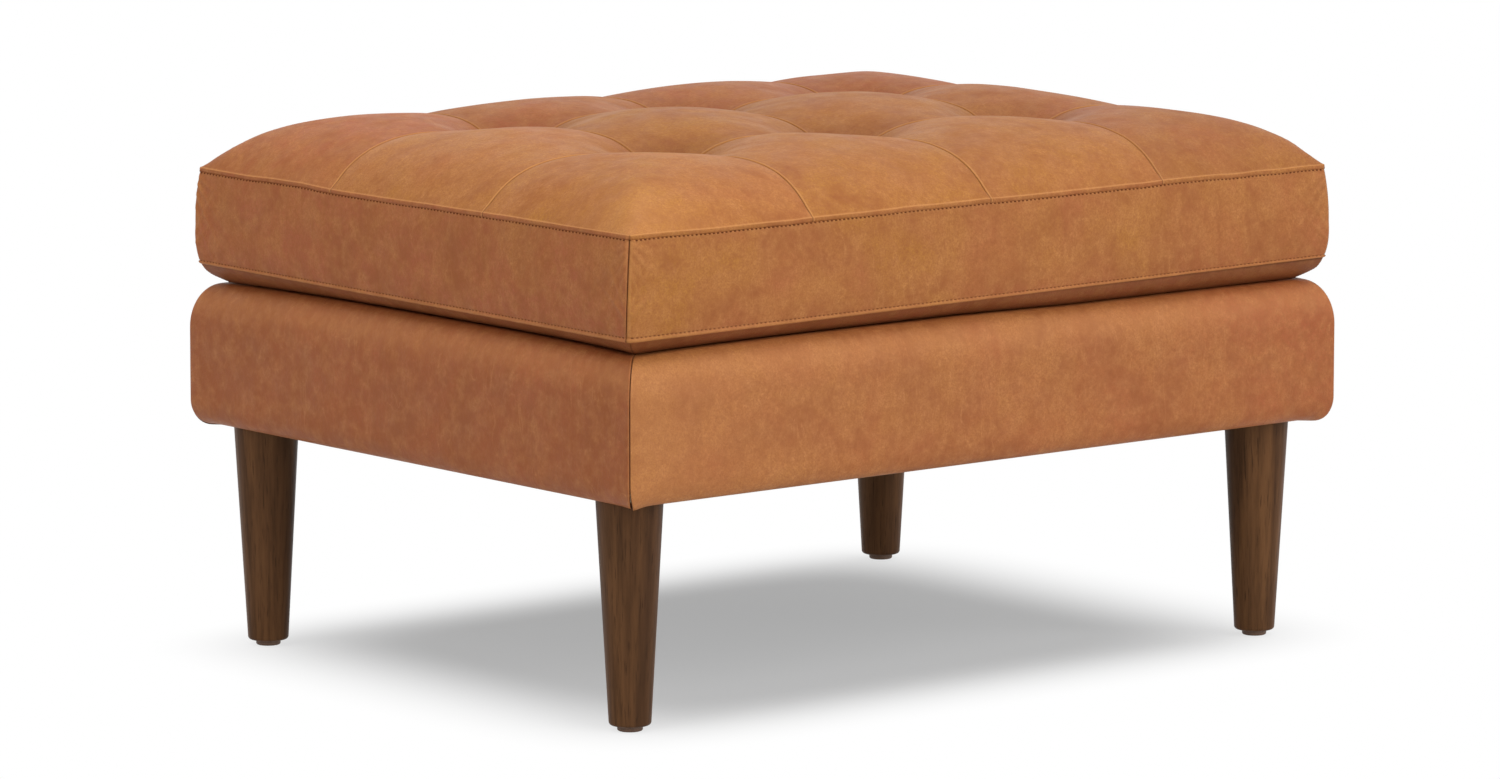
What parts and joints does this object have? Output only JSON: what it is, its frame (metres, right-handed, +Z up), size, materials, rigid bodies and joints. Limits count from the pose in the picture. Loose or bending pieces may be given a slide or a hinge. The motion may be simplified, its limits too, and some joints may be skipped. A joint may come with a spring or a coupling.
{
  "type": "tufted leather ottoman",
  "caption": "Rectangular tan leather ottoman: a loose boxed cushion with a sewn, tufted top on an upholstered base with tapered round wooden legs.",
  "frame": {"origin": "on the floor, under the middle of the base", "axes": "+Z up, +X along the long side, the long front side faces -Y"},
  "size_m": [0.81, 0.637, 0.4864],
  "materials": {
    "cushion_leather": "satin",
    "base_leather": "satin",
    "leg_wood": "satin",
    "frame_wood": "matte",
    "zinc_steel": "satin",
    "glide_plastic": "matte",
    "webbing": "matte",
    "foam": "matte",
    "lining_cloth": "matte",
    "deck_fabric": "matte",
    "dust_cloth": "matte",
    "fibre": "matte",
    "thread": "matte",
    "zip_tape": "matte",
    "zip_metal": "satin"
  },
  "bodies": {
    "base": {"front_rail": "frame_wood", "rear_rail": "frame_wood", "left_rail": "frame_wood", "right_rail": "frame_wood", "middle_stretcher": "frame_wood", "corner_block_front_left": "frame_wood", "corner_block_front_right": "frame_wood", "corner_block_rear_left": "frame_wood", "corner_block_rear_right": "frame_wood", "frame_screws": "zinc_steel", "t_nuts": "zinc_steel", "hanger_bolts": "zinc_steel", "leg_front_left": "leg_wood", "leg_front_right": "leg_wood", "leg_rear_left": "leg_wood", "leg_rear_right": "leg_wood", "floor_glides": "glide_plastic", "long_webbing": "webbing", "cross_webbing": "webbing", "deck_cloth": "lining_cloth", "deck_foam": "foam", "front_padding": "foam", "rear_padding": "foam", "left_padding": "foam", "right_padding": "foam", "front_cover": "base_leather", "rear_cover": "base_leather", "left_cover": "base_leather", "right_cover": "base_leather", "deck_panel": "deck_fabric", "dust_cover": "dust_cloth"},
    "cushion": {"cushion_top": "cushion_leather", "cushion_border_front": "cushion_leather", "cushion_border_rear": "cushion_leather", "cushion_border_left": "cushion_leather", "cushion_border_right": "cushion_leather", "cushion_underside": "cushion_leather", "foam_core": "foam", "fibre_wrap": "fibre", "tuft_twines": "thread", "tuft_anchors": "frame_wood", "zip_tapes": "zip_tape", "zip_teeth": "zip_metal"},
    "zip_slider": {"zip_slider": "zip_metal"},
    "zip_pull": {"zip_pull": "zip_metal"}
  },
  "joints": [
    {"name": "cushion_lift", "type": "slide", "parent": "base", "child": "cushion", "axis": [0, 0, 1], "range_m": [0, 0.25]},
    {"name": "zip_run", "type": "slide", "parent": "cushion", "child": "zip_slider", "axis": [-1, 0, 0], "range_m": [0, 0.59]},
    {"name": "pull_swing", "type": "hinge", "parent": "zip_slider", "child": "zip_pull", "pos_m": [0.295, 0.31622, 0.3833], "axis": [0, 0, -1], "range_deg": [0, 170]}
  ]
}
